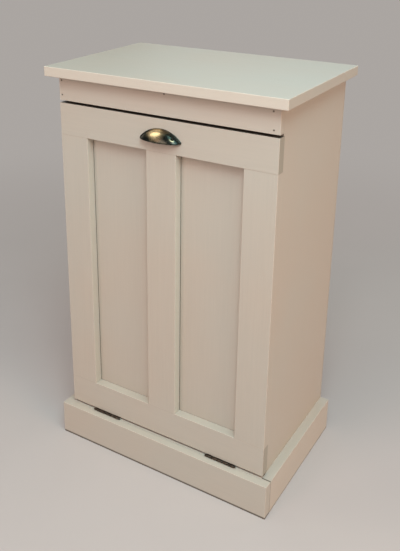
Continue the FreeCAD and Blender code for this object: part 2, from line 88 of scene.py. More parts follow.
# Node helpers, for materials and for Geometry Nodes
def wire(tree, kind, plugs=None, **settings):
    node = tree.nodes.new(kind)
    for name, value in settings.items():
        setattr(node, name, value)
    for socket, value in (plugs or {}).items():
        if isinstance(value, bpy.types.NodeSocket):
            tree.links.new(value, node.inputs[socket])
        else:
            node.inputs[socket].default_value = value
    return node


def calc(tree, operation, a, b=0.0, c=0.0):
    return wire(tree, "ShaderNodeMath", {0: a, 1: b, 2: c}, operation=operation).outputs[0]


def vectorCalc(tree, operation, a, b=(0, 0, 0)):
    node = wire(tree, "ShaderNodeVectorMath", {0: a, 1: b}, operation=operation)
    return node.outputs["Value" if operation in ("DOT_PRODUCT", "LENGTH") else "Vector"]


def remap(tree, value, low, high, toLow=0.0, toHigh=1.0, smooth=False):
    plugs = {"Value": value, "From Min": low, "From Max": high, "To Min": toLow, "To Max": toHigh}
    kind = "SMOOTHSTEP" if smooth else "LINEAR"
    return wire(tree, "ShaderNodeMapRange", plugs, interpolation_type=kind).outputs["Result"]


def blendColor(tree, share, a, b, mode="MIX"):
    node = wire(tree, "ShaderNodeMix", data_type="RGBA", blend_type=mode)
    for socket, value in ((0, share), (6, a), (7, b)):
        if isinstance(value, bpy.types.NodeSocket):
            tree.links.new(value, node.inputs[socket])
        elif socket:
            node.inputs[socket].default_value = (*value, 1)
        else:
            node.inputs[socket].default_value = value
    return node.outputs[2]


def grainNoise(tree, position, stretch, detail=3.0, roughness=0.5, distortion=0.0):
    stretched = vectorCalc(tree, "MULTIPLY", position, stretch)
    plugs = {"Vector": stretched, "Scale": 1.0, "Detail": detail, "Roughness": roughness,
             "Distortion": distortion}
    return wire(tree, "ShaderNodeTexNoise", plugs).outputs["Fac"]


def newMaterial(name, **constants):
    material = bpy.data.materials.new(name)
    material.use_nodes = True
    tree = material.node_tree
    tree.nodes.clear()
    surface = wire(tree, "ShaderNodeBsdfPrincipled")
    for socket, value in constants.items():
        surface.inputs[socket.replace("_", " ")].default_value = value
    wire(tree, "ShaderNodeOutputMaterial", {"Surface": surface.outputs[0]})
    place = wire(tree, "ShaderNodeTexCoord")
    return material, tree, surface, place.outputs["Object"], place.outputs["Normal"]


def roughen(tree, surface, height, distance, strength=1.0):
    plugs = {"Height": height, "Distance": distance, "Strength": strength}
    bump = wire(tree, "ShaderNodeBump", plugs)
    tree.links.new(bump.outputs["Normal"], surface.inputs["Normal"])


# How far a point on a board lies from the board's nearest edge
def edgeDistance(tree, position, node):
    low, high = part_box(node)
    fromLow = vectorCalc(tree, "SUBTRACT", position, low)
    fromHigh = vectorCalc(tree, "SUBTRACT", high, position)
    near = wire(tree, "ShaderNodeSeparateXYZ", {0: vectorCalc(tree, "MINIMUM", fromLow, fromHigh)}).outputs
    largest = calc(tree, "MAXIMUM", calc(tree, "MAXIMUM", near[0], near[1]), near[2])
    smallest = calc(tree, "MINIMUM", calc(tree, "MINIMUM", near[0], near[1]), near[2])
    total = calc(tree, "ADD", calc(tree, "ADD", near[0], near[1]), near[2])
    return calc(tree, "SUBTRACT", calc(tree, "SUBTRACT", total, largest), smallest)


# Where each loose solid of a fastener node has its head, which way it is driven, its head's radius and its length
def fastenerPlaces(node):
    shape = bmesh.new()
    shape.from_mesh(frame["nodes"][node].data)
    bmesh.ops.remove_doubles(shape, verts=shape.verts, dist=1e-6)
    waiting = set(shape.verts)
    places = []
    while waiting:
        group, edge = [], [waiting.pop()]
        while edge:
            vertex = edge.pop()
            group.append(vertex.co.copy())
            for link in vertex.link_edges:
                other = link.other_vert(vertex)
                if other in waiting:
                    waiting.remove(other)
                    edge.append(other)
        places.append(readFastener(group))
    shape.free()
    return sorted(places, key=lambda place: tuple(round(part, 5) for part in place["head"]))


def readFastener(points):
    low = Vector([min(p[k] for p in points) for k in range(3)])
    high = Vector([max(p[k] for p in points) for k in range(3)])
    middle = (low + high) / 2
    k = max(range(3), key=lambda axis: high[axis] - low[axis])
    axis = Vector([float(n == k) for n in range(3)])

    def widthAt(level):
        near = [p - middle for p in points if abs(p[k] - level) < 0.0012]
        return max((p - axis * p[k]).length for p in near)

    headUp = widthAt(high[k]) > widthAt(low[k])
    head = middle.copy()
    head[k] = high[k] if headUp else low[k]
    others = [n for n in range(3) if n != k]
    return {"head": head, "drive": -axis if headUp else axis, "length": high[k] - low[k],
            "radius": (high[others[0]] - low[others[0]]) / 2}


# Stretch for a grain that runs along one axis
def grainStretch(along, lengthwise, crosswise):
    return tuple(lengthwise if abs(part) > 0.5 else crosswise for part in along)


pine = {
    "early": (0.66, 0.47, 0.27),
    "late": (0.47, 0.28, 0.13),
    "knot": (0.22, 0.11, 0.05),
    "ringSpacing": 0.009,
    "roughness": 0.62,
}


def pineFigure(tree, position, along):
    wander = grainNoise(tree, position, grainStretch(along, 1.6, 14), 2.0)
    across = [k for k in range(3) if abs(along[k]) < 0.5]
    parts = wire(tree, "ShaderNodeSeparateXYZ", {0: position}).outputs
    depth = calc(tree, "ADD", parts[across[0]], calc(tree, "MULTIPLY", parts[across[1]], 0.6))
    bent = calc(tree, "ADD", depth, calc(tree, "MULTIPLY", wander, 0.05))
    phase = calc(tree, "DIVIDE", bent, pine["ringSpacing"])
    ring = calc(tree, "FRACT", phase)
    band = calc(tree, "POWER", ring, 3.0)
    fibre = grainNoise(tree, position, grainStretch(along, 12, 900), 2.0)
    color = blendColor(tree, calc(tree, "MULTIPLY", band, 0.8), pine["early"], pine["late"])
    streaked = blendColor(tree, remap(tree, fibre, 0.35, 0.75, 0, 0.3), color, pine["late"])
    spots = wire(tree, "ShaderNodeTexVoronoi", {
        "Vector": vectorCalc(tree, "MULTIPLY", position, grainStretch(along, 3.2, 7)), "Scale": 1.0}).outputs
    knot = remap(tree, spots["Distance"], 0.05, 0.10, 1, 0, smooth=True)
    return blendColor(tree, knot, streaked, pine["knot"]), calc(tree, "ADD", band, fibre)


# Paint: thin satin coat, brushed along each board, with a painted highlight along its edges
paint = {
    "face": (0.545, 0.468, 0.388),
    "warm": (0.560, 0.463, 0.375),
    "cool": (0.535, 0.480, 0.405),
    # fullerAndLit: fuller brush strokes, and a painted highlight on edges and on some lit faces
    "fullerAndLit": (0.660, 0.560, 0.462),
    # litReveal: painted light on the side faces inside the door's openings
    "litReveal": (0.621, 0.594, 0.516),
    "endGrain": (0.345, 0.305, 0.240),
    # crackAndShade: dark joint cracks and brad chips, and painted shade along the floor line, under the door and in
    # the panel's corners
    "crackAndShade": (0.085, 0.062, 0.042),
    # dull: painted shade for the faces inside the gaps above and below the door
    "dull": (0.085, 0.066, 0.050),
    "chip": 0.0023,
    "edgeWidth": 0.0016,
    "strokeLength": 0.12,
    "strokeWidth": 0.0022,
    "lap": 0.011,
    "roughness": 0.40,
}


# Where the paint has chipped round each brad hole of a node
def brokenRound(tree, position, node):
    nearest = None
    for place in fastenerPlaces(node):
        gap = vectorCalc(tree, "LENGTH", vectorCalc(tree, "SUBTRACT", position, place["head"]))
        nearest = gap if nearest is None else calc(tree, "MINIMUM", nearest, gap)
    return remap(tree, nearest, paint["chip"] * 0.85, paint["chip"] * 1.15, 0.85, 0, True)


# Seam lines: (axis, place, half width, strength) of dark lines: joint cracks in the paint, and painted shade along
# the floor line, under the door and in the panel's corners
# Sides: (way, tone, share) of faces given a painted shade tone, and of faces given a painted light tone
def paintedWood(node, along, bareSide=None, endTone=0.25, crackAndShadeLines=(), sides=()):
    material, tree, surface, position, facing = newMaterial("paintedWood_" + node, IOR=1.5)
    strokes = grainNoise(
        tree, position, grainStretch(along, 1 / paint["strokeLength"], 1 / paint["strokeWidth"]), 2.0)
    broad = grainNoise(tree, position, grainStretch(along, 1.5, 16), 2.0)
    cloud = grainNoise(tree, position, (3.1, 3.1, 3.1), 2.0)
    stipple = grainNoise(tree, position, (1400, 1400, 1400), 1.0)
    color = blendColor(tree, remap(tree, cloud, 0.35, 0.65), paint["warm"], paint["cool"])
    color = blendColor(tree, remap(tree, broad, 0.3, 0.7, 0, 0.35), color, paint["face"])
    color = blendColor(tree, remap(tree, strokes, 0.40, 0.62, 0, 0.12), color, paint["fullerAndLit"])
    edge = edgeDistance(tree, position, node)
    # A lighter band along each edge: painted highlight on the arrises
    uneven = calc(tree, "ADD", edge, calc(tree, "MULTIPLY", calc(tree, "SUBTRACT", strokes, 0.5), 0.0012))
    color = blendColor(tree, remap(tree, uneven, 0.0003, paint["edgeWidth"], 0.55, 0, True), color,
                       paint["fullerAndLit"])
    lengthwise = calc(tree, "ABSOLUTE", vectorCalc(tree, "DOT_PRODUCT", facing, along))
    endFace = remap(tree, lengthwise, 0.6, 0.8)
    color = blendColor(tree, calc(tree, "MULTIPLY", endFace, endTone), color, paint["endGrain"])
    parts = wire(tree, "ShaderNodeSeparateXYZ", {0: position}).outputs
    # Dark lines: joint cracks, and painted shade along the floor line, under the door and in the panel's corners
    for axis, place, half, strength in crackAndShadeLines:
        away = calc(tree, "ABSOLUTE", calc(tree, "SUBTRACT", parts[axis], place))
        ragged = calc(tree, "ADD", away, calc(tree, "MULTIPLY", cloud, 0.0004))
        crackAndShade = remap(tree, ragged, 0.6 * half, 1.3 * half, strength, 0, True)
        level = calc(tree, "ABSOLUTE", vectorCalc(tree, "DOT_PRODUCT", facing, (xAxis, yAxis, zAxis)[axis]))
        crackAndShade = calc(tree, "MULTIPLY", crackAndShade, remap(tree, level, 0.6, 0.8, 1, 0))
        color = blendColor(tree, crackAndShade, color, paint["crackAndShade"])
    # Each listed side gets a painted light or painted shade tone
    for way, tone, share in sides:
        toned = remap(tree, vectorCalc(tree, "DOT_PRODUCT", facing, way), 0.6, 0.8, 0, share)
        color = blendColor(tree, toned, color, paint[tone])
    if node == "header_board":
        color = blendColor(tree, brokenRound(tree, position, "header_brads"), color, paint["crackAndShade"])
    rough = remap(tree, strokes, 0.3, 0.7, paint["roughness"] - 0.05, paint["roughness"] + 0.07)
    height = calc(tree, "ADD", strokes, calc(tree, "MULTIPLY", stipple, 0.35))
    if bareSide is not None:
        figure, figureHeight = pineFigure(tree, position, along)
        inside = remap(tree, vectorCalc(tree, "DOT_PRODUCT", facing, bareSide), 0.6, 0.8)
        ragged = calc(tree, "ADD", edge, calc(tree, "MULTIPLY", calc(tree, "SUBTRACT", broad, 0.5), 0.02))
        beyond = remap(tree, ragged, paint["lap"], paint["lap"] + 0.0012, 0, 1, True)
        bare = calc(tree, "MULTIPLY", inside, beyond)
        color = blendColor(tree, bare, color, figure)
        rough = calc(tree, "ADD", rough, calc(tree, "MULTIPLY", bare, pine["roughness"] - paint["roughness"]))
        height = wire(tree, "ShaderNodeMix", {0: bare, 2: height, 3: figureHeight}).outputs[0]
    tree.links.new(color, surface.inputs["Base Color"])
    tree.links.new(rough, surface.inputs["Roughness"])
    roughen(tree, surface, height, 0.00012)
    return material


def barePine(node, along):
    material, tree, surface, position, facing = newMaterial("barePine_" + node, IOR=1.45)
    color, height = pineFigure(tree, position, along)
    lengthwise = calc(tree, "ABSOLUTE", vectorCalc(tree, "DOT_PRODUCT", facing, along))
    pores = grainNoise(tree, position, (700, 700, 700), 2.0)
    sawn = blendColor(tree, pores, pine["late"], pine["early"])
    color = blendColor(tree, remap(tree, lengthwise, 0.6, 0.8, 0, 0.7), color, sawn)
    edge = edgeDistance(tree, position, node)
    color = blendColor(tree, remap(tree, edge, 0.0004, 0.0016, 0.35, 0, True), color, pine["late"])
    tree.links.new(color, surface.inputs["Base Color"])
    tree.links.new(remap(tree, height, 0, 1.6, 0.55, 0.75), surface.inputs["Roughness"])
    roughen(tree, surface, height, 0.0002)
    return material


plywood = {
    "pale": (0.66, 0.50, 0.32),
    "brown": (0.52, 0.36, 0.20),
    "darkPly": (0.27, 0.16, 0.08),
    "plies": 9,
}


# Veneer on the two faces across the thin axis, and the plies in stripes on the edges
def plywoodSheet(node, along, thin):
    material, tree, surface, position, facing = newMaterial("plywood_" + node, IOR=1.45)
    low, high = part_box(node)
    swirl = grainNoise(tree, position, grainStretch(along, 3, 26), 3.0, 0.6, 0.8)
    fibre = grainNoise(tree, position, grainStretch(along, 25, 1300), 2.0)
    figure = calc(tree, "FRACT", calc(tree, "MULTIPLY", swirl, 7.0))
    veneer = blendColor(tree, calc(tree, "MULTIPLY", calc(tree, "POWER", figure, 2.0), 0.55),
                        plywood["pale"], plywood["brown"])
    veneer = blendColor(tree, remap(tree, fibre, 0.45, 0.75, 0, 0.4), veneer, plywood["brown"])
    depth = vectorCalc(tree, "DOT_PRODUCT", vectorCalc(tree, "SUBTRACT", position, low), thin)
    ply = calc(tree, "MULTIPLY", depth, plywood["plies"] / 2 / (high - low).dot(thin))
    dark = remap(tree, calc(tree, "FRACT", ply), 0.48, 0.54)
    stripes = blendColor(tree, calc(tree, "MULTIPLY", dark, 0.75), plywood["pale"], plywood["darkPly"])
    stripes = blendColor(tree, remap(tree, fibre, 0.4, 0.7, 0, 0.35), stripes, plywood["darkPly"])
    onFace = remap(tree, calc(tree, "ABSOLUTE", vectorCalc(tree, "DOT_PRODUCT", facing, thin)), 0.6, 0.8)
    tree.links.new(blendColor(tree, onFace, stripes, veneer), surface.inputs["Base Color"])
    tree.links.new(remap(tree, fibre, 0.3, 0.7, 0.5, 0.68), surface.inputs["Roughness"])
    roughen(tree, surface, calc(tree, "ADD", fibre, dark), 0.00015)
    return material


hardboard = {"dark": (0.16, 0.085, 0.042), "light": (0.27, 0.155, 0.08), "fleck": (0.40, 0.27, 0.16)}


def hardboardSheet(node):
    material, tree, surface, position, facing = newMaterial("hardboard_" + node, IOR=1.45)
    felt = grainNoise(tree, position, (220, 220, 220), 4.0, 0.7)
    cloud = grainNoise(tree, position, (9, 9, 9), 2.0)
    fleck = grainNoise(tree, position, (260, 900, 900), 1.0)
    color = blendColor(tree, remap(tree, felt, 0.3, 0.7), hardboard["dark"], hardboard["light"])
    color = blendColor(tree, remap(tree, cloud, 0.3, 0.7, 0, 0.35), color, hardboard["light"])
    color = blendColor(tree, remap(tree, fleck, 0.66, 0.74, 0, 0.7), color, hardboard["fleck"])
    sideways = calc(tree, "ABSOLUTE", vectorCalc(tree, "DOT_PRODUCT", facing, xAxis))
    color = blendColor(tree, remap(tree, sideways, 0.6, 0.8), color, paint["face"])
    tree.links.new(color, surface.inputs["Base Color"])
    tree.links.new(remap(tree, felt, 0.3, 0.7, 0.42, 0.6), surface.inputs["Roughness"])
    roughen(tree, surface, felt, 0.0001)
    return material


bronze = {
    "deep": (0.017, 0.021, 0.018),
    "patina": (0.052, 0.054, 0.040),
    "rubbed": (0.90, 0.71, 0.43),
    "halo": (0.27, 0.21, 0.12),
}


def antiqueBronze():
    material, tree, surface, position, facing = newMaterial("antiqueBronze", Metallic=0.92)
    cloud = grainNoise(tree, position, (90, 90, 90), 3.0)
    fine = grainNoise(tree, position, (900, 900, 900), 2.0)
    rub = wire(tree, "ShaderNodeAttribute", attribute_name="rub").outputs["Fac"]
    color = blendColor(tree, remap(tree, cloud, 0.35, 0.65), bronze["deep"], bronze["patina"])
    worn = calc(tree, "ADD", rub, calc(tree, "MULTIPLY", calc(tree, "SUBTRACT", cloud, 0.5), 0.5))
    color = blendColor(tree, remap(tree, worn, 0.15, 0.6, 0, 0.9, True), color, bronze["halo"])
    color = blendColor(tree, remap(tree, worn, 0.45, 0.95, 0, 0.9, True), color, bronze["rubbed"])
    tree.links.new(color, surface.inputs["Base Color"])
    tree.links.new(remap(tree, cloud, 0.3, 0.7, 0.22, 0.28), surface.inputs["Roughness"])
    roughen(tree, surface, fine, 0.00003)
    return material


hingePlating = {"dark": (0.036, 0.028, 0.022), "brown": (0.085, 0.062, 0.044), "worn": (0.25, 0.20, 0.15)}


def oilRubbedBronze():
    material, tree, surface, position, facing = newMaterial("oilRubbedBronze", Metallic=0.85)
    cloud = grainNoise(tree, position, (160, 260, 260), 3.0)
    fine = grainNoise(tree, position, (1500, 3000, 3000), 2.0)
    rings = grainNoise(tree, position, (650, 20, 20), 1.0)
    color = blendColor(tree, remap(tree, cloud, 0.35, 0.65), hingePlating["dark"], hingePlating["brown"])
    color = blendColor(tree, remap(tree, rings, 0.60, 0.72, 0, 0.45), color, hingePlating["worn"])
    tree.links.new(color, surface.inputs["Base Color"])
    tree.links.new(remap(tree, cloud, 0.3, 0.7, 0.30, 0.5), surface.inputs["Roughness"])
    roughen(tree, surface, fine, 0.00003)
    return material


zinc = {"bright": (0.62, 0.63, 0.63), "dull": (0.40, 0.42, 0.44), "yellowed": (0.55, 0.50, 0.38)}


def zincSteel():
    material, tree, surface, position, facing = newMaterial("zincSteel", Metallic=1.0)
    spangle = wire(tree, "ShaderNodeTexVoronoi", {"Vector": position, "Scale": 420.0}).outputs["Color"]
    cloud = grainNoise(tree, position, (120, 120, 120), 3.0)
    color = blendColor(tree, remap(tree, cloud, 0.3, 0.7), zinc["bright"], zinc["dull"])
    color = blendColor(tree, remap(tree, spangle, 0.2, 0.9, 0, 0.3), color, zinc["yellowed"])
    tree.links.new(color, surface.inputs["Base Color"])
    tree.links.new(remap(tree, cloud, 0.3, 0.7, 0.28, 0.45), surface.inputs["Roughness"])
    roughen(tree, surface, spangle, 0.00002)
    return material


def darkSteel():
    material, tree, surface, position, facing = newMaterial("darkSteel", Metallic=0.8)
    cloud = grainNoise(tree, position, (900, 900, 900), 2.0)
    tree.links.new(blendColor(tree, cloud, (0.03, 0.025, 0.022), (0.12, 0.10, 0.085)),
                   surface.inputs["Base Color"])
    tree.links.new(remap(tree, cloud, 0.3, 0.7, 0.4, 0.6), surface.inputs["Roughness"])
    return material


binPlasticLook = {"face": (0.70, 0.69, 0.65), "scuff": (0.58, 0.57, 0.54), "scuffShare": 0.5}


def binPlastic():
    material, tree, surface, position, facing = newMaterial("binPlastic", IOR=1.49)
    surface.inputs["Subsurface Weight"].default_value = 0.0
    grain = grainNoise(tree, position, (1100, 1100, 1100), 2.0)
    cloud = grainNoise(tree, position, (7, 7, 3), 2.0)
    scratch = grainNoise(tree, position, (420, 420, 9), 2.0)
    color = blendColor(tree, remap(tree, cloud, 0.35, 0.7, 0, 0.5), binPlasticLook["face"],
                       binPlasticLook["scuff"])
    color = blendColor(tree, remap(tree, scratch, 0.66, 0.74, 0, binPlasticLook["scuffShare"]), color,
                       binPlasticLook["scuff"])
    tree.links.new(color, surface.inputs["Base Color"])
    tree.links.new(remap(tree, grain, 0.3, 0.7, 0.42, 0.52), surface.inputs["Roughness"])
    roughen(tree, surface, grain, 0.00008)
    return material


def catchPlastic():
    material, tree, surface, position, facing = newMaterial("catchPlastic", IOR=1.49)
    grain = grainNoise(tree, position, (1500, 1500, 1500), 2.0)
    flow = grainNoise(tree, position, (60, 60, 25), 2.0)
    tree.links.new(blendColor(tree, flow, (0.17, 0.085, 0.045), (0.23, 0.12, 0.065)),
                   surface.inputs["Base Color"])
    tree.links.new(remap(tree, grain, 0.3, 0.7, 0.35, 0.5), surface.inputs["Roughness"])
    roughen(tree, surface, grain, 0.00005)
    return material


def ferriteMagnet():
    material, tree, surface, position, facing = newMaterial("ferriteMagnet", Metallic=0.3)
    grit = grainNoise(tree, position, (1800, 1800, 1800), 3.0)
    tree.links.new(blendColor(tree, grit, (0.03, 0.03, 0.032), (0.10, 0.10, 0.105)),
                   surface.inputs["Base Color"])
    tree.links.new(remap(tree, grit, 0.3, 0.7, 0.45, 0.7), surface.inputs["Roughness"])
    roughen(tree, surface, grit, 0.00006)
    return material


def dress(node, material):
    slots = frame["nodes"][node].data.materials
    slots.clear()
    slots.append(material)


makeCamera()
print("camera set")

# Boards that keep their solids: which way the grain runs, which side the paint leaves bare, end-grain tone, dark
# lines (joint cracks and painted shade), and sides with painted light or painted shade tones
# Dark band along the floor line: painted contact shadow
floorShadeLine = (2, 0.0, 0.0044, 0.92)
baseCrackAndFloorShade = [(1, -0.144, 0.0029, 0.97), floorShadeLine]
# Dark lines where the panel meets the frame: painted shade in the recess corners
panelJointShade = [(0, -0.169, 0.0013, 0.8), (0, -0.03175, 0.001, 0.6), (0, 0.03175, 0.0013, 0.85),
              (0, 0.169, 0.001, 0.7), (2, 0.1448, 0.001, 0.35), (2, 0.7003, 0.001, 0.35)]
railSeams = [(2, 0.7003, 0.001, 0.2), (2, 0.1448, 0.001, 0.2)]
paintedBoards = {
    # Top board: front face lightened as painted light
    "top_board": (xAxis, None, 0.1, (), [(-yAxis, "fullerAndLit", 1)]),
    # Header: underside darkened as painted shade over the door gap, front face lightened as painted light
    "header_board": (xAxis, yAxis, 0.1, (), [(-zAxis, "dull", 1), (-yAxis, "fullerAndLit", 0.2)]),
    # Front bottom rail: dark band across its top under the door, painted shade in the gap
    "front_bottom_rail": (xAxis, yAxis, 0.2, [(1, -0.127, 0.0084, 0.97)]),
    "base_front_board": (xAxis, None, 0.05, [floorShadeLine]),
    # Base boards: outer side faces lightened as painted light
    "base_left_board": (yAxis, None, 0.05, [(1, -0.144, 0.0008, 0.3), floorShadeLine], [(-xAxis, "fullerAndLit", 0.5)]),
    "base_right_board": (yAxis, None, 0.05, baseCrackAndFloorShade, [(xAxis, "fullerAndLit", 0.5)]),
    "left_side_panel": (zAxis, xAxis, 0.2),
    "right_side_panel": (zAxis, -xAxis, 0.2),
    # Door rails: top edge and underside darkened as painted shade in the gaps
    "door_top_rail": (xAxis, yAxis, 0.8, railSeams, [(zAxis, "dull", 1)]),
    "door_bottom_rail": (xAxis, yAxis, 0.75, railSeams, [(-zAxis, "dull", 1)]),
    # Left stile and mullion: side faces towards +X lightened as painted light
    "door_left_stile": (zAxis, yAxis, 0.2, railSeams, [(xAxis, "litReveal", 0.6)]),
    "door_right_stile": (zAxis, yAxis, 0.2, railSeams),
    "door_mullion": (zAxis, yAxis, 0.2, railSeams, [(xAxis, "litReveal", 1)]),
    "door_panel": (zAxis, yAxis, 0.2, panelJointShade),
    "bottom_board": (xAxis, None, 0.2),
}
pineBoards = {
    "front_top_cleat": xAxis,
    "left_top_cleat": yAxis,
    "right_top_cleat": yAxis,
    "left_bottom_cleat": yAxis,
    "right_bottom_cleat": yAxis,
    "left_stop_cleat": zAxis,
    "right_stop_cleat": zAxis,
    "cradle_stop_slat": xAxis,
    "cradle_low_slat": xAxis,
    "frame_dowels": zAxis,
}
plywoodBoards = {
    "cradle_left_side": (zAxis, xAxis),
    "cradle_right_side": (zAxis, xAxis),
    "cradle_shelf": (xAxis, zAxis),
}
for board, look in paintedBoards.items():
    dress(board, paintedWood(board, *look))
for board, along in pineBoards.items():
    dress(board, barePine(board, along))
for board, (along, thin) in plywoodBoards.items():
    dress(board, plywoodSheet(board, along, thin))
dress("back_panel", hardboardSheet("back_panel"))
finishes = {
    "antique_bronze": antiqueBronze(),
    "dark_hinge": oilRubbedBronze(),
    "zinc_steel": zincSteel(),
    "bin_plastic": binPlastic(),
    "catch_plastic": catchPlastic(),
    "magnet": ferriteMagnet(),
}
for name in frame["nodes"]:
    if slotOf[name] in finishes:
        dress(name, finishes[slotOf[name]])
for name in ("header_brads", "base_brads"):
    dress(name, darkSteel())
print("boards painted")


# Geometry Nodes: a tree with named inputs, its end, and the run that turns its result into a plain mesh
def shapeTree(name, inputs):
    tree = bpy.data.node_groups.new(name, "GeometryNodeTree")
    tree.interface.new_socket("Geometry", in_out="INPUT", socket_type="NodeSocketGeometry")
    for label, kind in inputs.items():
        tree.interface.new_socket(label, in_out="INPUT", socket_type="NodeSocket" + kind)
    tree.interface.new_socket("Geometry", in_out="OUTPUT", socket_type="NodeSocketGeometry")
    return tree, wire(tree, "NodeGroupInput").outputs


def endTree(tree, geometry, finish):
    real = wire(tree, "GeometryNodeRealizeInstances", {"Geometry": geometry}).outputs[0]
    dressed = wire(tree, "GeometryNodeSetMaterial", {"Geometry": real, "Material": finish}).outputs[0]
    wire(tree, "NodeGroupOutput", {"Geometry": dressed})


def linked(name, mesh):
    thing = bpy.data.objects.new(name, mesh)
    bpy.context.scene.collection.objects.link(thing)
    return thing


def asPlainMesh(name, host):
    bpy.context.view_layer.update()
    depsgraph = bpy.context.evaluated_depsgraph_get()
    evaluated = host.evaluated_get(depsgraph)
    mesh = bpy.data.meshes.new_from_object(evaluated, preserve_all_data_layers=True, depsgraph=depsgraph)
    mesh.name = name
    bpy.data.objects.remove(host)
    return linked(name, mesh)


def grow(name, tree, values, start=None):
    host = linked(name + "Host", start or bpy.data.meshes.new(name + "Host"))
    modifier = host.modifiers.new(name, "NODES")
    modifier.node_group = tree
    for item in tree.interface.items_tree:
        if item.in_out == "INPUT" and item.name in values:
            modifier[item.identifier] = values[item.name]
    return asPlainMesh(name, host)


# Merges a piece's doubles, closes it, turns its faces outwards and smooths what isn't sharp
def finishShape(piece, material, sharpAngle=38, closeHoles=False, merge=1e-6):
    shape = bmesh.new()
    shape.from_mesh(piece.data)
    bmesh.ops.remove_doubles(shape, verts=shape.verts, dist=merge)
    if closeHoles:
        bmesh.ops.holes_fill(shape, edges=[e for e in shape.edges if e.is_boundary], sides=0)
    bmesh.ops.recalc_face_normals(shape, faces=shape.faces)
    for face in shape.faces:
        face.smooth = True
        face.material_index = 0
    shape.to_mesh(piece.data)
    shape.free()
    piece.data.set_sharp_from_angle(angle=math.radians(sharpAngle))
    piece.data.materials.clear()
    piece.data.materials.append(material)
    return piece


# Joins shapes that are one piece, with their places already in their meshes
def joined(name, parts):
    shape = bmesh.new()
    for part in parts:
        shape.from_mesh(part.data)
        bpy.data.objects.remove(part)
    mesh = bpy.data.meshes.new(name)
    shape.to_mesh(mesh)
    shape.free()
    return linked(name, mesh)


def standFor(piece, node):
    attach(piece, bodyOf[node])
    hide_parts(node)


# Closed shape turned about Z from (radius, height) points that start and end on the axis
def turnedShape(name, outline, segments=28):
    shape = bmesh.new()
    rings = []
    for radius, height in outline:
        count = segments if radius > 1e-7 else 1
        turns = [2 * math.pi * k / segments for k in range(count)]
        rings.append([shape.verts.new((radius * math.cos(t), radius * math.sin(t), height)) for t in turns])
    for lower, upper in zip(rings, rings[1:]):
        for k in range(segments):
            n = (k + 1) % segments
            corners = [lower[k % len(lower)], lower[n % len(lower)], upper[n % len(upper)], upper[k % len(upper)]]
            corners = list(dict.fromkeys(corners))
            if len(corners) > 2:
                shape.faces.new(corners)
    bmesh.ops.recalc_face_normals(shape, faces=shape.faces)
    mesh = bpy.data.meshes.new(name)
    shape.to_mesh(mesh)
    shape.free()
    return linked(name, mesh)


# Prism from an outline in the XY plane
def prism(name, outline, low, high, topScale=1.0):
    shape = bmesh.new()
    bottom = [shape.verts.new((x, y, low)) for x, y in outline]
    top = [shape.verts.new((topScale * x, topScale * y, high)) for x, y in outline]
    shape.faces.new(bottom)
    shape.faces.new(top)
    for k in range(len(outline)):
        n = (k + 1) % len(outline)
        shape.faces.new((bottom[k], bottom[n], top[n], top[k]))
    bmesh.ops.recalc_face_normals(shape, faces=shape.faces)
    mesh = bpy.data.meshes.new(name)
    shape.to_mesh(mesh)
    shape.free()
    return linked(name, mesh)


def carve(piece, cutter):
    modifier = piece.modifiers.new("recess", "BOOLEAN")
    modifier.operation = "DIFFERENCE"
    modifier.object = cutter
    carved = asPlainMesh(piece.name, piece)
    bpy.data.objects.remove(cutter)
    return carved


# Cup pull: a dome on a round-backed flange, open below, with a rolled lip
cupPull = {
    "flangeWidth": 0.0024,
    "flangeRise": 0.0016,
    "wall": 0.0016,
    "fillet": 0.0022,
    "endTrim": 0.035,
    "lipRadius": 0.0012,
    "columns": 97,
    "rows": 41,
    "postRadius": 0.0033,
    "screwSpacing": 0.057,
    "postRise": 0.007,
    "wearHeight": -0.02,
    "wearRise": 0.42,
    "wearSide": 0.16,
    "wearSpread": 0.46,
    "thumbPlace": (-0.70, -0.16, 0),
    "thumbSpread": (0.14, 0.13, 1),
    "thumbShare": -0.5,
}


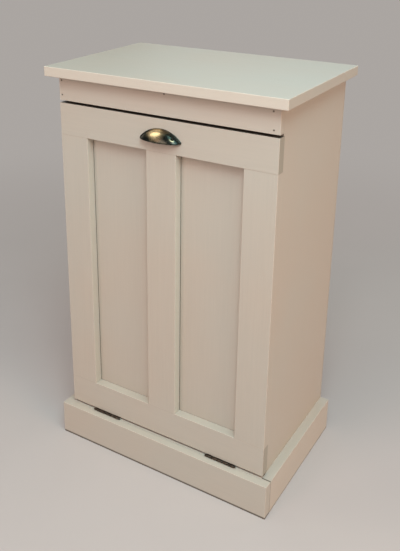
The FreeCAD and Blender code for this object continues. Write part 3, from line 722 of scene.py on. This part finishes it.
def cupPullTree():
    tree, given = shapeTree("cupPullShape", {
        "Flange Radius": "Float", "Flange Width": "Float", "Flange Rise": "Float", "Drop": "Float",
        "End Trim": "Float", "Depth": "Float", "Fillet": "Float", "Place": "Vector",
        "Columns": "Int", "Rows": "Int", "Lip Radius": "Float", "Only Lip": "Bool", "Wear Height": "Float", "Wear Rise": "Float",
        "Wear Side": "Float", "Wear Spread": "Float", "Thumb Place": "Vector", "Thumb Spread": "Vector",
        "Thumb Share": "Float", "Finish": "Material"})
    grid = wire(tree, "GeometryNodeMeshGrid", {
        "Size X": 2.0, "Size Y": 1.0, "Vertices X": given["Columns"], "Vertices Y": given["Rows"]})
    spot = wire(tree, "ShaderNodeSeparateXYZ", {0: wire(tree, "GeometryNodeInputPosition").outputs[0]}).outputs
    # Angle round the flange's centre, from tip to tip, and the share of the way out from the open mouth
    start = calc(tree, "ARCSINE", calc(tree, "DIVIDE", given["Drop"], given["Flange Radius"]))
    swing = calc(tree, "SUBTRACT", math.pi / 2, calc(tree, "ADD", start, given["End Trim"]))
    angle = calc(tree, "ADD", math.pi / 2, calc(tree, "MULTIPLY", spot[0], swing))
    share = calc(tree, "SINE", calc(tree, "MULTIPLY", calc(tree, "ADD", spot[1], 0.5), math.pi / 2))
    nearest = calc(tree, "DIVIDE", given["Drop"], calc(tree, "SINE", angle))
    reach = calc(tree, "SUBTRACT", given["Flange Radius"], nearest)
    radius = calc(tree, "ADD", nearest, calc(tree, "MULTIPLY", reach, share))
    domeRadius = calc(tree, "SUBTRACT", given["Flange Radius"], given["Flange Width"])
    # Depth of a flattened ball whose open mouth is as deep as the pull
    mouthShare = calc(tree, "POWER", calc(tree, "DIVIDE", given["Drop"], domeRadius), 2.0)
    ballDepth = calc(tree, "DIVIDE", given["Depth"], calc(tree, "SQRT", calc(tree, "SUBTRACT", 1.0, mouthShare)))
    outward = calc(tree, "POWER", calc(tree, "DIVIDE", radius, domeRadius), 2.0)
    left = calc(tree, "MAXIMUM", calc(tree, "SUBTRACT", 1.0, outward), 0.0)
    dome = calc(tree, "MULTIPLY", ballDepth, calc(tree, "SQRT", left))
    toEdge = calc(tree, "SUBTRACT", given["Flange Radius"], radius)
    inner = calc(tree, "MINIMUM", calc(tree, "DIVIDE", toEdge, given["Flange Rise"]), 1.0)
    round2 = calc(tree, "SUBTRACT", 1.0, calc(tree, "POWER", calc(tree, "SUBTRACT", 1.0, inner), 2.0))
    flange = calc(tree, "MULTIPLY", given["Flange Rise"], calc(tree, "SQRT", calc(tree, "MAXIMUM", round2, 0.0)))
    depth = calc(tree, "SMOOTH_MAX", dome, flange, given["Fillet"])
    depth = calc(tree, "MINIMUM", depth, given["Depth"])
    height = calc(tree, "SUBTRACT", calc(tree, "MULTIPLY", radius, calc(tree, "SINE", angle)), given["Drop"])
    across = calc(tree, "MULTIPLY", radius, calc(tree, "COSINE", angle))
    onFace = wire(tree, "ShaderNodeCombineXYZ", {0: across, 1: calc(tree, "MULTIPLY", depth, -1.0), 2: height})
    place = vectorCalc(tree, "ADD", onFace.outputs[0], given["Place"])
    # Hands have rubbed the belly of the dome, most on one side of its middle
    upWear = calc(tree, "DIVIDE", calc(tree, "SUBTRACT", spot[1], given["Wear Height"]), given["Wear Rise"])
    sideWear = calc(tree, "DIVIDE", calc(tree, "SUBTRACT", spot[0], given["Wear Side"]), given["Wear Spread"])
    off = calc(tree, "ADD", calc(tree, "POWER", upWear, 2.0), calc(tree, "POWER", sideWear, 2.0))
    belly = calc(tree, "EXPONENT", calc(tree, "MULTIPLY", off, -1.0))
    near = vectorCalc(tree, "LENGTH", vectorCalc(tree, "DIVIDE", vectorCalc(
        tree, "SUBTRACT", wire(tree, "GeometryNodeInputPosition").outputs[0], given["Thumb Place"]),
        given["Thumb Spread"]))
    thumb = calc(tree, "EXPONENT", calc(tree, "SUBTRACT", given["Thumb Share"], calc(tree, "POWER", near, 2.0)))
    worn = calc(tree, "MAXIMUM", belly, thumb)
    marked = wire(tree, "GeometryNodeStoreNamedAttribute", {
        "Geometry": grid.outputs["Mesh"], "Name": "rub", "Value": worn}, data_type="FLOAT", domain="POINT")
    atMouth = calc(tree, "LESS_THAN", spot[1], -0.4999)
    kept = wire(tree, "GeometryNodeStoreNamedAttribute", {
        "Geometry": marked.outputs[0], "Name": "mouth", "Value": atMouth}, data_type="FLOAT", domain="POINT")
    moved = wire(tree, "GeometryNodeSetPosition", {"Geometry": kept.outputs[0], "Position": place}).outputs[0]
    mouth = wire(tree, "GeometryNodeInputNamedAttribute", {"Name": "mouth"}, data_type="FLOAT").outputs[0]
    edge = wire(tree, "GeometryNodeMeshToCurve", {
        "Mesh": moved, "Selection": calc(tree, "GREATER_THAN", mouth, 0.9)}).outputs[0]
    bead = wire(tree, "GeometryNodeCurvePrimitiveCircle", {"Resolution": 14, "Radius": given["Lip Radius"]})
    lip = wire(tree, "GeometryNodeCurveToMesh", {"Curve": edge, "Profile Curve": bead.outputs[0],
                                                 "Fill Caps": True}).outputs[0]
    lip = wire(tree, "GeometryNodeStoreNamedAttribute", {
        "Geometry": lip, "Name": "rub", "Value": 0.1}, data_type="FLOAT", domain="POINT").outputs[0]
    chosen = wire(tree, "GeometryNodeSwitch", {
        "Switch": given["Only Lip"], "False": moved, "True": lip}, input_type="GEOMETRY").outputs[0]
    endTree(tree, chosen, given["Finish"])
    return tree


def makeCupPull():
    low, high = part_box("cup_pull")
    width, height, depth = high.x - low.x, high.z - low.z, high.y - low.y
    radius = (width ** 2 / 4 + height ** 2) / (2 * height)
    lip = cupPull["lipRadius"]
    values = {
        "Flange Radius": radius, "Flange Width": cupPull["flangeWidth"], "Flange Rise": cupPull["flangeRise"],
        "Drop": radius - height, "End Trim": cupPull["endTrim"], "Depth": depth - lip, "Fillet": cupPull["fillet"],
        "Place": ((low.x + high.x) / 2, high.y, low.z), "Columns": cupPull["columns"],
        "Rows": cupPull["rows"], "Lip Radius": lip, "Wear Height": cupPull["wearHeight"],
        "Wear Rise": cupPull["wearRise"], "Wear Side": cupPull["wearSide"],
        "Wear Spread": cupPull["wearSpread"], "Thumb Place": cupPull["thumbPlace"],
        "Thumb Spread": cupPull["thumbSpread"], "Thumb Share": cupPull["thumbShare"],
        "Finish": finishes["antique_bronze"]}
    tree = cupPullTree()
    shell = grow("cupPullShell", tree, values)
    solid = shell.modifiers.new("wall", "SOLIDIFY")
    solid.thickness = cupPull["wall"]
    solid.offset = 1.0
    shell = asPlainMesh("cupPullShell", shell)
    parts = [shell, grow("cupPullLip", tree, {**values, "Only Lip": True})]
    toFront = zAxis.rotation_difference(-yAxis).to_matrix().to_4x4()
    for side in (-1, 1):
        outline = [(0, 0), (cupPull["postRadius"], 0), (cupPull["postRadius"], 0.008), (0.0022, 0.0095),
                   (0, 0.0095)]
        post = turnedShape("cupPullPost", outline)
        post.data.transform(toFront)
        place = Vector((side * cupPull["screwSpacing"] / 2, high.y, low.z + cupPull["postRise"]))
        post.data.transform(Matrix.Translation(place))
        parts.append(post)
    pull = joined("cupPull", parts)
    finishShape(pull, finishes["antique_bronze"], 50, merge=1e-7)
    standFor(pull, "cup_pull")


# Fasteners: one detailed screw or pin, set at each place that its CAD node holds
fastenerKinds = {
    "flat": {"shank": 0.46, "rim": 0.05, "recess": 0.62},
    "pan": {"shank": 0.48, "rise": 0.6, "recess": 0.60},
    "pin": {"shank": 0.47, "headThick": 0.4},
}
fasteners = {
    "lower_hinge_screws": "flat",
    "upper_hinge_screws": "flat",
    "cradle_screws": "flat",
    "stop_screws": "flat",
    "top_cleat_screws": "flat",
    "bottom_cleat_screws": "flat",
    "strike_screw": "flat",
    "pull_screws": "pan",
    "bracket_screws": "pan",
    "catch_screws": "pan",
    "back_pins": "pin",
    "panel_pins": "pin",
}
fastenerSeed = 7


def screwOutline(kind, radius, length):
    look = fastenerKinds[kind]
    shank = look["shank"] * radius
    if kind == "flat":
        rim = look["rim"] * radius
        top = [(0, 0), (0.93 * radius, 0), (radius, -rim), (radius, -2 * rim), (shank, shank - radius - rim)]
    elif kind == "pan":
        rise = look["rise"] * radius
        top = [(0, 0), (0.55 * radius, -0.03 * rise), (0.8 * radius, -0.16 * rise), (0.95 * radius, -0.42 * rise),
               (radius, -0.75 * rise), (radius, -rise), (shank, -rise)]
    else:
        thick = look["headThick"] * radius
        top = [(0, 0), (0.7 * radius, -0.04 * radius), (radius, -0.35 * thick), (radius, -thick), (shank, -thick)]
    return top + [(shank, 3 * shank - length), (0, -length)]


def crossRecess(radius, reach):
    arm, half = reach * radius, 0.13 * radius
    outline = []
    for k in range(4):
        turn = k * math.pi / 2
        for x, y in ((arm, -half), (arm, half), (half, half)):
            outline.append((x * math.cos(turn) - y * math.sin(turn), x * math.sin(turn) + y * math.cos(turn)))
    shape = prism("recess", [(0.4 * x, 0.4 * y) for x, y in outline], -0.62 * radius, 0.1 * radius, 2.6)
    return shape


def fastenerTree():
    tree, given = shapeTree("fastenerSet", {
        "Fastener": "Object", "Spin": "Float", "Seed": "Int", "Finish": "Material"})
    drive = wire(tree, "GeometryNodeInputNamedAttribute", {"Name": "drive"}, data_type="FLOAT_VECTOR").outputs[0]
    upright = wire(tree, "FunctionNodeAlignRotationToVector", {
        "Vector": vectorCalc(tree, "MULTIPLY", drive, (-1, -1, -1))}, axis="Z").outputs[0]
    spin = wire(tree, "FunctionNodeRandomValue", {2: 0.0, 3: given["Spin"], "Seed": given["Seed"]},
                data_type="FLOAT").outputs[1]
    turn = wire(tree, "FunctionNodeAxisAngleToRotation", {"Axis": (0, 0, 1), "Angle": spin}).outputs[0]
    turned = wire(tree, "FunctionNodeRotateRotation", {0: upright, 1: turn}, rotation_space="LOCAL").outputs[0]
    model = wire(tree, "GeometryNodeObjectInfo", {"Object": given["Fastener"], "As Instance": True}).outputs
    placed = wire(tree, "GeometryNodeInstanceOnPoints", {
        "Points": given["Geometry"], "Instance": model["Geometry"], "Rotation": turned}).outputs[0]
    endTree(tree, placed, given["Finish"])
    return tree


def makeFasteners():
    tree = fastenerTree()
    for node, kind in fasteners.items():
        places = fastenerPlaces(node)
        radius, length = places[0]["radius"], places[0]["length"]
        model = turnedShape("fastenerModel", screwOutline(kind, radius, length), 24)
        if kind != "pin":
            model = carve(model, crossRecess(radius, fastenerKinds[kind]["recess"]))
        points = bpy.data.meshes.new(node + "Places")
        points.from_pydata([place["head"] for place in places], [], [])
        drive = points.attributes.new("drive", "FLOAT_VECTOR", "POINT")
        drive.data.foreach_set("vector", [part for place in places for part in place["drive"]])
        finish = finishes[slotOf[node]]
        name = "".join(word.capitalize() if k else word for k, word in enumerate(node.split("_")))
        piece = grow(name, tree, {"Fastener": model, "Spin": 6.28, "Seed": fastenerSeed, "Finish": finish}, points)
        bpy.data.objects.remove(model)
        finishShape(piece, finish, 32)
        standFor(piece, node)


# Butt hinges: a notched leaf with every other knuckle, and a pin with bullet tips
hinge = {
    "knuckles": 5,
    "gap": 0.0004,
    "leafThick": 0.0015,
    "corner": 0.0025,
    "shoulder": 0.00035,
    "tip": 0.003,
    "tipRadius": 0.0022,
    "pinRadius": 0.0012,
}


def knuckleTree():
    tree, given = shapeTree("knuckleRow", {
        "Knuckle": "Object", "Count": "Int", "Parity": "Int", "Start": "Vector", "Step": "Vector",
        "Finish": "Material"})
    row = wire(tree, "GeometryNodeMeshLine", {
        "Count": given["Count"], "Start Location": given["Start"], "Offset": given["Step"]}, mode="OFFSET").outputs[0]
    index = wire(tree, "GeometryNodeInputIndex").outputs[0]
    odd = calc(tree, "MODULO", index, 2.0)
    chosen = wire(tree, "FunctionNodeCompare", {"A": odd, "B": given["Parity"]}, data_type="FLOAT",
                  operation="EQUAL").outputs[0]
    model = wire(tree, "GeometryNodeObjectInfo", {"Object": given["Knuckle"], "As Instance": True}).outputs
    knuckles = wire(tree, "GeometryNodeInstanceOnPoints", {
        "Points": row, "Selection": chosen, "Instance": model["Geometry"]}).outputs[0]
    both = wire(tree, "GeometryNodeJoinGeometry")
    tree.links.new(given["Geometry"], both.inputs[0])
    tree.links.new(knuckles, both.inputs[0])
    endTree(tree, both.outputs[0], given["Finish"])
    return tree


# Leaf outline seen from above: round corners at the back, a tongue to each of its own knuckles in front
def leafOutline(x0, x1, front, back, axisY, parity):
    pitch = (x1 - x0) / hinge["knuckles"]
    outline = []
    for k in range(hinge["knuckles"]):
        left, right = x0 + k * pitch, x0 + (k + 1) * pitch
        if k % 2 == parity:
            trim = hinge["gap"] / 2
            outline += [(left + trim, front), (left + trim, axisY), (right - trim, axisY), (right - trim, front)]
    if parity:
        outline = [(x0, front)] + outline + [(x1, front)]
    for cornerX, side in ((x1 - hinge["corner"], 1), (x0 + hinge["corner"], -1)):
        for k in range(7):
            turn = math.pi / 12 * (k if side > 0 else 6 - k)
            outline.append((cornerX + side * hinge["corner"] * math.cos(turn),
                            back - hinge["corner"] + hinge["corner"] * math.sin(turn)))
    return outline


def makeHinges():
    tree = knuckleTree()
    finish = finishes["dark_hinge"]
    for side in ("left", "right"):
        low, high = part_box(side + "_hinge_lower_leaf")
        radius = (high.z - low.z) / 2
        axisY, axisZ = low.y + radius, low.z + radius
        pitch = (high.x - low.x) / hinge["knuckles"]
        width = pitch - hinge["gap"]
        ease = hinge["shoulder"]
        outline = [(0, 0), (radius - ease, 0), (radius - 0.3 * ease, 0.3 * ease), (radius, ease),
                   (radius, width - ease), (radius - 0.3 * ease, width - 0.3 * ease), (radius - ease, width),
                   (0, width)]
        knuckle = turnedShape("knuckleModel", outline, 32)
        toX = zAxis.rotation_difference(xAxis).to_matrix().to_4x4()
        knuckle.data.transform(toX)
        for leaf, parity in (("lower", 0), ("upper", 1)):
            node = side + "_hinge_" + leaf + "_leaf"
            floor = low.z if leaf == "lower" else high.z - hinge["leafThick"]
            front = axisY + radius + hinge["gap"]
            outline = leafOutline(low.x, high.x, front, high.y, axisY, parity)
            plate = prism("leafPlate", outline, floor, floor + hinge["leafThick"])
            start = (low.x + hinge["gap"] / 2, axisY, axisZ)
            values = {"Knuckle": knuckle, "Count": hinge["knuckles"], "Parity": parity, "Start": start,
                      "Step": (pitch, 0, 0), "Finish": finish}
            plateMesh = plate.data.copy()
            bpy.data.objects.remove(plate)
            piece = grow(side + "Hinge" + leaf.capitalize() + "Leaf", tree, values, plateMesh)
            finishShape(piece, finish, 30)
            standFor(piece, node)
        bpy.data.objects.remove(knuckle)
        makeHingePin(side, axisY, axisZ, finish, toX)


def makeHingePin(side, axisY, axisZ, finish, toX):
    low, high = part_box(side + "_hinge_pin")
    total = high.x - low.x
    tip, wide, core = hinge["tip"], hinge["tipRadius"], hinge["pinRadius"]
    bullet = [(wide * math.cos(t), tip - tip * math.sin(t)) for t in
              [math.pi / 2 * k / 8 for k in range(8, -1, -1)]]
    bullet[0] = (0, 0)
    outline = bullet + [(core, tip), (core, total - tip)]
    outline += [(radius, total - height) for radius, height in reversed(bullet)]
    pin = turnedShape(side + "HingePin", outline, 28)
    pin.data.transform(toX)
    for vertex in pin.data.vertices:
        vertex.co += Vector((low.x, axisY, axisZ))
    finishShape(pin, finish, 40)
    standFor(pin, side + "_hinge_pin")


# Waste bin: a tapered wall with round corners and a rolled rim, grown along one profile
wasteBin = {
    "wall": 0.0024,
    "corner": 0.036,
    "lip": 0.004,
    "rimHeight": 0.012,
    "footWidth": 0.330,
    "footDepth": 0.205,
    "footRound": 0.008,
    "footRise": 0.0025,
    "beadHeights": (0.62, 0.90),
    "beadReach": 0.0016,
    "beadHalf": 0.006,
    "around": 96,
}


def binTree():
    tree, given = shapeTree("binShape", {
        "Profile": "Object", "Height": "Float", "Mouth": "Vector", "Foot": "Vector", "Corner": "Float",
        "Place": "Vector", "Around": "Int", "Rows": "Int", "Finish": "Material"})
    grid = wire(tree, "GeometryNodeMeshGrid", {
        "Size X": 1.0, "Size Y": 1.0, "Vertices X": calc(tree, "ADD", given["Around"], 1.0),
        "Vertices Y": given["Rows"]})
    spot = wire(tree, "ShaderNodeSeparateXYZ", {0: wire(tree, "GeometryNodeInputPosition").outputs[0]}).outputs
    around = calc(tree, "ADD", calc(tree, "ADD", spot[0], 0.5), calc(tree, "DIVIDE", 0.5, given["Around"]))
    turn = calc(tree, "MULTIPLY", around, 2 * math.pi)
    row = calc(tree, "MULTIPLY", calc(tree, "ADD", spot[1], 0.5), calc(tree, "SUBTRACT", given["Rows"], 1.0))
    profile = wire(tree, "GeometryNodeObjectInfo", {"Object": given["Profile"]}).outputs["Geometry"]
    read = wire(tree, "GeometryNodeSampleIndex", {
        "Geometry": profile, "Value": wire(tree, "GeometryNodeInputPosition").outputs[0],
        "Index": calc(tree, "ROUND", row)}, data_type="FLOAT_VECTOR", domain="POINT", clamp=True).outputs[0]
    wall = wire(tree, "ShaderNodeSeparateXYZ", {0: read}).outputs
    rise = calc(tree, "DIVIDE", wall[2], given["Height"])
    half = vectorCalc(tree, "ADD", given["Foot"], vectorCalc(
        tree, "MULTIPLY", vectorCalc(tree, "SUBTRACT", given["Mouth"], given["Foot"]),
        wire(tree, "ShaderNodeCombineXYZ", {0: rise, 1: rise, 2: rise}).outputs[0]))
    halves = wire(tree, "ShaderNodeSeparateXYZ", {0: half}).outputs
    reach = calc(tree, "ADD", given["Corner"], wall[0])
    sides = []
    for k, wave in ((0, "COSINE"), (1, "SINE")):
        swing = calc(tree, wave, turn)
        straight = calc(tree, "MULTIPLY", calc(tree, "SIGN", swing), calc(tree, "SUBTRACT", halves[k],
                                                                         given["Corner"]))
        sides.append(calc(tree, "ADD", straight, calc(tree, "MULTIPLY", reach, swing)))
    point = wire(tree, "ShaderNodeCombineXYZ", {0: sides[0], 1: sides[1], 2: wall[2]}).outputs[0]
    moved = wire(tree, "GeometryNodeSetPosition", {
        "Geometry": grid.outputs["Mesh"], "Position": vectorCalc(tree, "ADD", point, given["Place"])}).outputs[0]
    sealed = wire(tree, "GeometryNodeMergeByDistance", {"Geometry": moved, "Distance": 0.00001}).outputs[0]
    endTree(tree, sealed, given["Finish"])
    return tree


# Reach beyond the plain tapered wall against height: up the outside, over the rim, down the inside
def binProfile(height):
    look = wasteBin
    wall, lip, foot = look["wall"], look["lip"], look["footRound"]
    points = []
    for k in range(6):
        turn = math.pi / 2 * k / 5
        points.append((-foot + foot * math.sin(turn), foot - foot * math.cos(turn)))
    for share in look["beadHeights"]:
        middle = share * height
        for k in range(9):
            rise = -1 + k / 4
            bulge = look["beadReach"] * (0.5 + 0.5 * math.cos(math.pi * rise))
            points.append((bulge, middle + rise * look["beadHalf"]))
    rimLow = height - look["rimHeight"]
    points += [(0, rimLow + wall), (lip - wall * 0.9, rimLow + wall), (lip - wall * 0.9, rimLow),
               (lip - 0.0004, rimLow), (lip, rimLow + 0.0004)]
    for k in range(7):
        turn = math.pi / 2 * k / 6
        points.append((lip - 0.003 + 0.003 * math.cos(turn), height - 0.003 + 0.003 * math.sin(turn)))
    for k in range(5):
        turn = math.pi / 2 * k / 4
        points.append((-wall + 0.002 - 0.002 * math.sin(turn), height - 0.002 + 0.002 * math.cos(turn)))
    for share in reversed(look["beadHeights"]):
        middle = share * height
        for k in range(9):
            rise = 1 - k / 4
            bulge = look["beadReach"] * (0.5 + 0.5 * math.cos(math.pi * rise))
            points.append((bulge - wall, middle + rise * look["beadHalf"]))
    for k in range(6):
        turn = math.pi / 2 * k / 5
        points.append((-wall - foot * (1 - math.cos(turn)), foot + wall - foot * math.sin(turn)))
    return points


def makeBin():
    low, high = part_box("waste_bin")
    height = high.z - low.z
    middle = (low + high) / 2
    profileMesh = bpy.data.meshes.new("binProfile")
    points = binProfile(height)
    profileMesh.from_pydata([(reach, 0, rise) for reach, rise in points],
                            [(k, k + 1) for k in range(len(points) - 1)], [])
    profile = linked("binProfile", profileMesh)
    lip = wasteBin["lip"]
    values = {
        "Profile": profile, "Height": height, "Mouth": ((high.x - low.x) / 2 - lip, (high.y - low.y) / 2 - lip, 0),
        "Foot": (wasteBin["footWidth"] / 2, wasteBin["footDepth"] / 2, 0), "Corner": wasteBin["corner"],
        "Place": (middle.x, middle.y, low.z), "Around": wasteBin["around"], "Rows": len(points),
        "Finish": finishes["bin_plastic"]}
    piece = grow("wasteBin", binTree(), values)
    bpy.data.objects.remove(profile)
    finishShape(piece, finishes["bin_plastic"], 30, closeHoles=True, merge=1e-5)
    standFor(piece, "waste_bin")


makeCupPull()
print("cup pull made")
makeHinges()
print("hinges made")
makeFasteners()
print("fasteners set")
makeBin()
print("bin made")


# Floor and soft studio light
studio = {
    "floorRadius": 14.0,
    "floor": (0.580, 0.503, 0.474),
    "backdrop": (0.405, 0.378, 0.358),
    "fadeFrom": 0.7,
    "fadeTo": 2.3,
    "worldColor": (1.0, 1.0, 1.0),
    "worldStrength": 0.25,
    "aim": (0, 0, 0.45),
}
# Place, size, power and colour of each soft lamp
lamps = {
    "overhead": ((0.8, -0.9, 2.6), 1.6, 31.2, (0.50, 0.91, 1.0)),
    "frontRight": ((0.8, -1.3, 1.9), 0.8, 14.6, (0.90, 0.94, 1.0)),
    "frontLeft": ((-0.9, -3.3, 1.9), 1.5, 32.2, (1.0, 0.76, 0.71)),
    "rightFill": ((3.0, -0.6, 1.5), 1.8, 33.8, (1.0, 0.62, 0.39)),
    "leftWindow": ((-1.50, -0.95, 2.43), 1.3, 8, (1.0, 0.93, 0.74)),
    "backLeft": ((-0.9, 2.2, 1.5), 1.4, 3.2, (0.75, 0.80, 0.80)),
    "rear": ((1.3, 3.0, 1.2), 1.6, 9, (1.0, 1.0, 1.0)),
}


def makeFloor():
    mesh = bpy.data.meshes.new("floor")
    shape = bmesh.new()
    bmesh.ops.create_circle(shape, cap_ends=True, segments=96, radius=studio["floorRadius"])
    shape.to_mesh(mesh)
    shape.free()
    floor = bpy.data.objects.new("floor", mesh)
    bpy.context.scene.collection.objects.link(floor)
    material, tree, surface, position, facing = newMaterial("paleFloor", Roughness=0.85)
    speckle = grainNoise(tree, position, (4, 4, 4), 3.0)
    pale = studio["floor"]
    deeper = tuple(0.95 * part for part in pale)
    tree.links.new(blendColor(tree, speckle, pale, deeper), surface.inputs["Base Color"])
    far = remap(tree, vectorCalc(tree, "LENGTH", position), studio["fadeFrom"], studio["fadeTo"], 0, 1, True)
    seen = wire(tree, "ShaderNodeLightPath").outputs["Is Camera Ray"]
    plain = wire(tree, "ShaderNodeEmission", {"Color": (*studio["backdrop"], 1), "Strength": 1.0})
    output = next(node for node in tree.nodes if node.bl_idname == "ShaderNodeOutputMaterial")
    mixed = wire(tree, "ShaderNodeMixShader", {
        0: calc(tree, "MULTIPLY", far, seen), 1: surface.outputs[0], 2: plain.outputs[0]})
    tree.links.new(mixed.outputs[0], output.inputs["Surface"])
    mesh.materials.append(material)


def makeWorld():
    world = bpy.data.worlds.new("studio")
    bpy.context.scene.world = world
    world.use_nodes = True
    tree = world.node_tree
    tree.nodes.clear()
    seen = wire(tree, "ShaderNodeLightPath").outputs["Is Camera Ray"]
    light = wire(tree, "ShaderNodeBackground", {
        "Color": (*studio["worldColor"], 1), "Strength": studio["worldStrength"]})
    plain = wire(tree, "ShaderNodeBackground", {"Color": (*studio["backdrop"], 1), "Strength": 1.0})
    mixed = wire(tree, "ShaderNodeMixShader", {0: seen, 1: light.outputs[0], 2: plain.outputs[0]})
    wire(tree, "ShaderNodeOutputWorld", {"Surface": mixed.outputs[0]})


def makeLamps():
    for name, (place, size, power, color) in lamps.items():
        data = bpy.data.lights.new(name, "AREA")
        data.shape = "DISK"
        data.size = size
        data.energy = power
        data.color = color
        light = bpy.data.objects.new(name, data)
        light.location = place
        toAim = Vector(studio["aim"]) - Vector(place)
        light.rotation_euler = toAim.to_track_quat("-Z", "Y").to_euler()
        light.visible_camera = False
        bpy.context.scene.collection.objects.link(light)


makeFloor()
makeWorld()
makeLamps()
bpy.context.scene.view_settings.view_transform = "Standard"
print("studio lit")
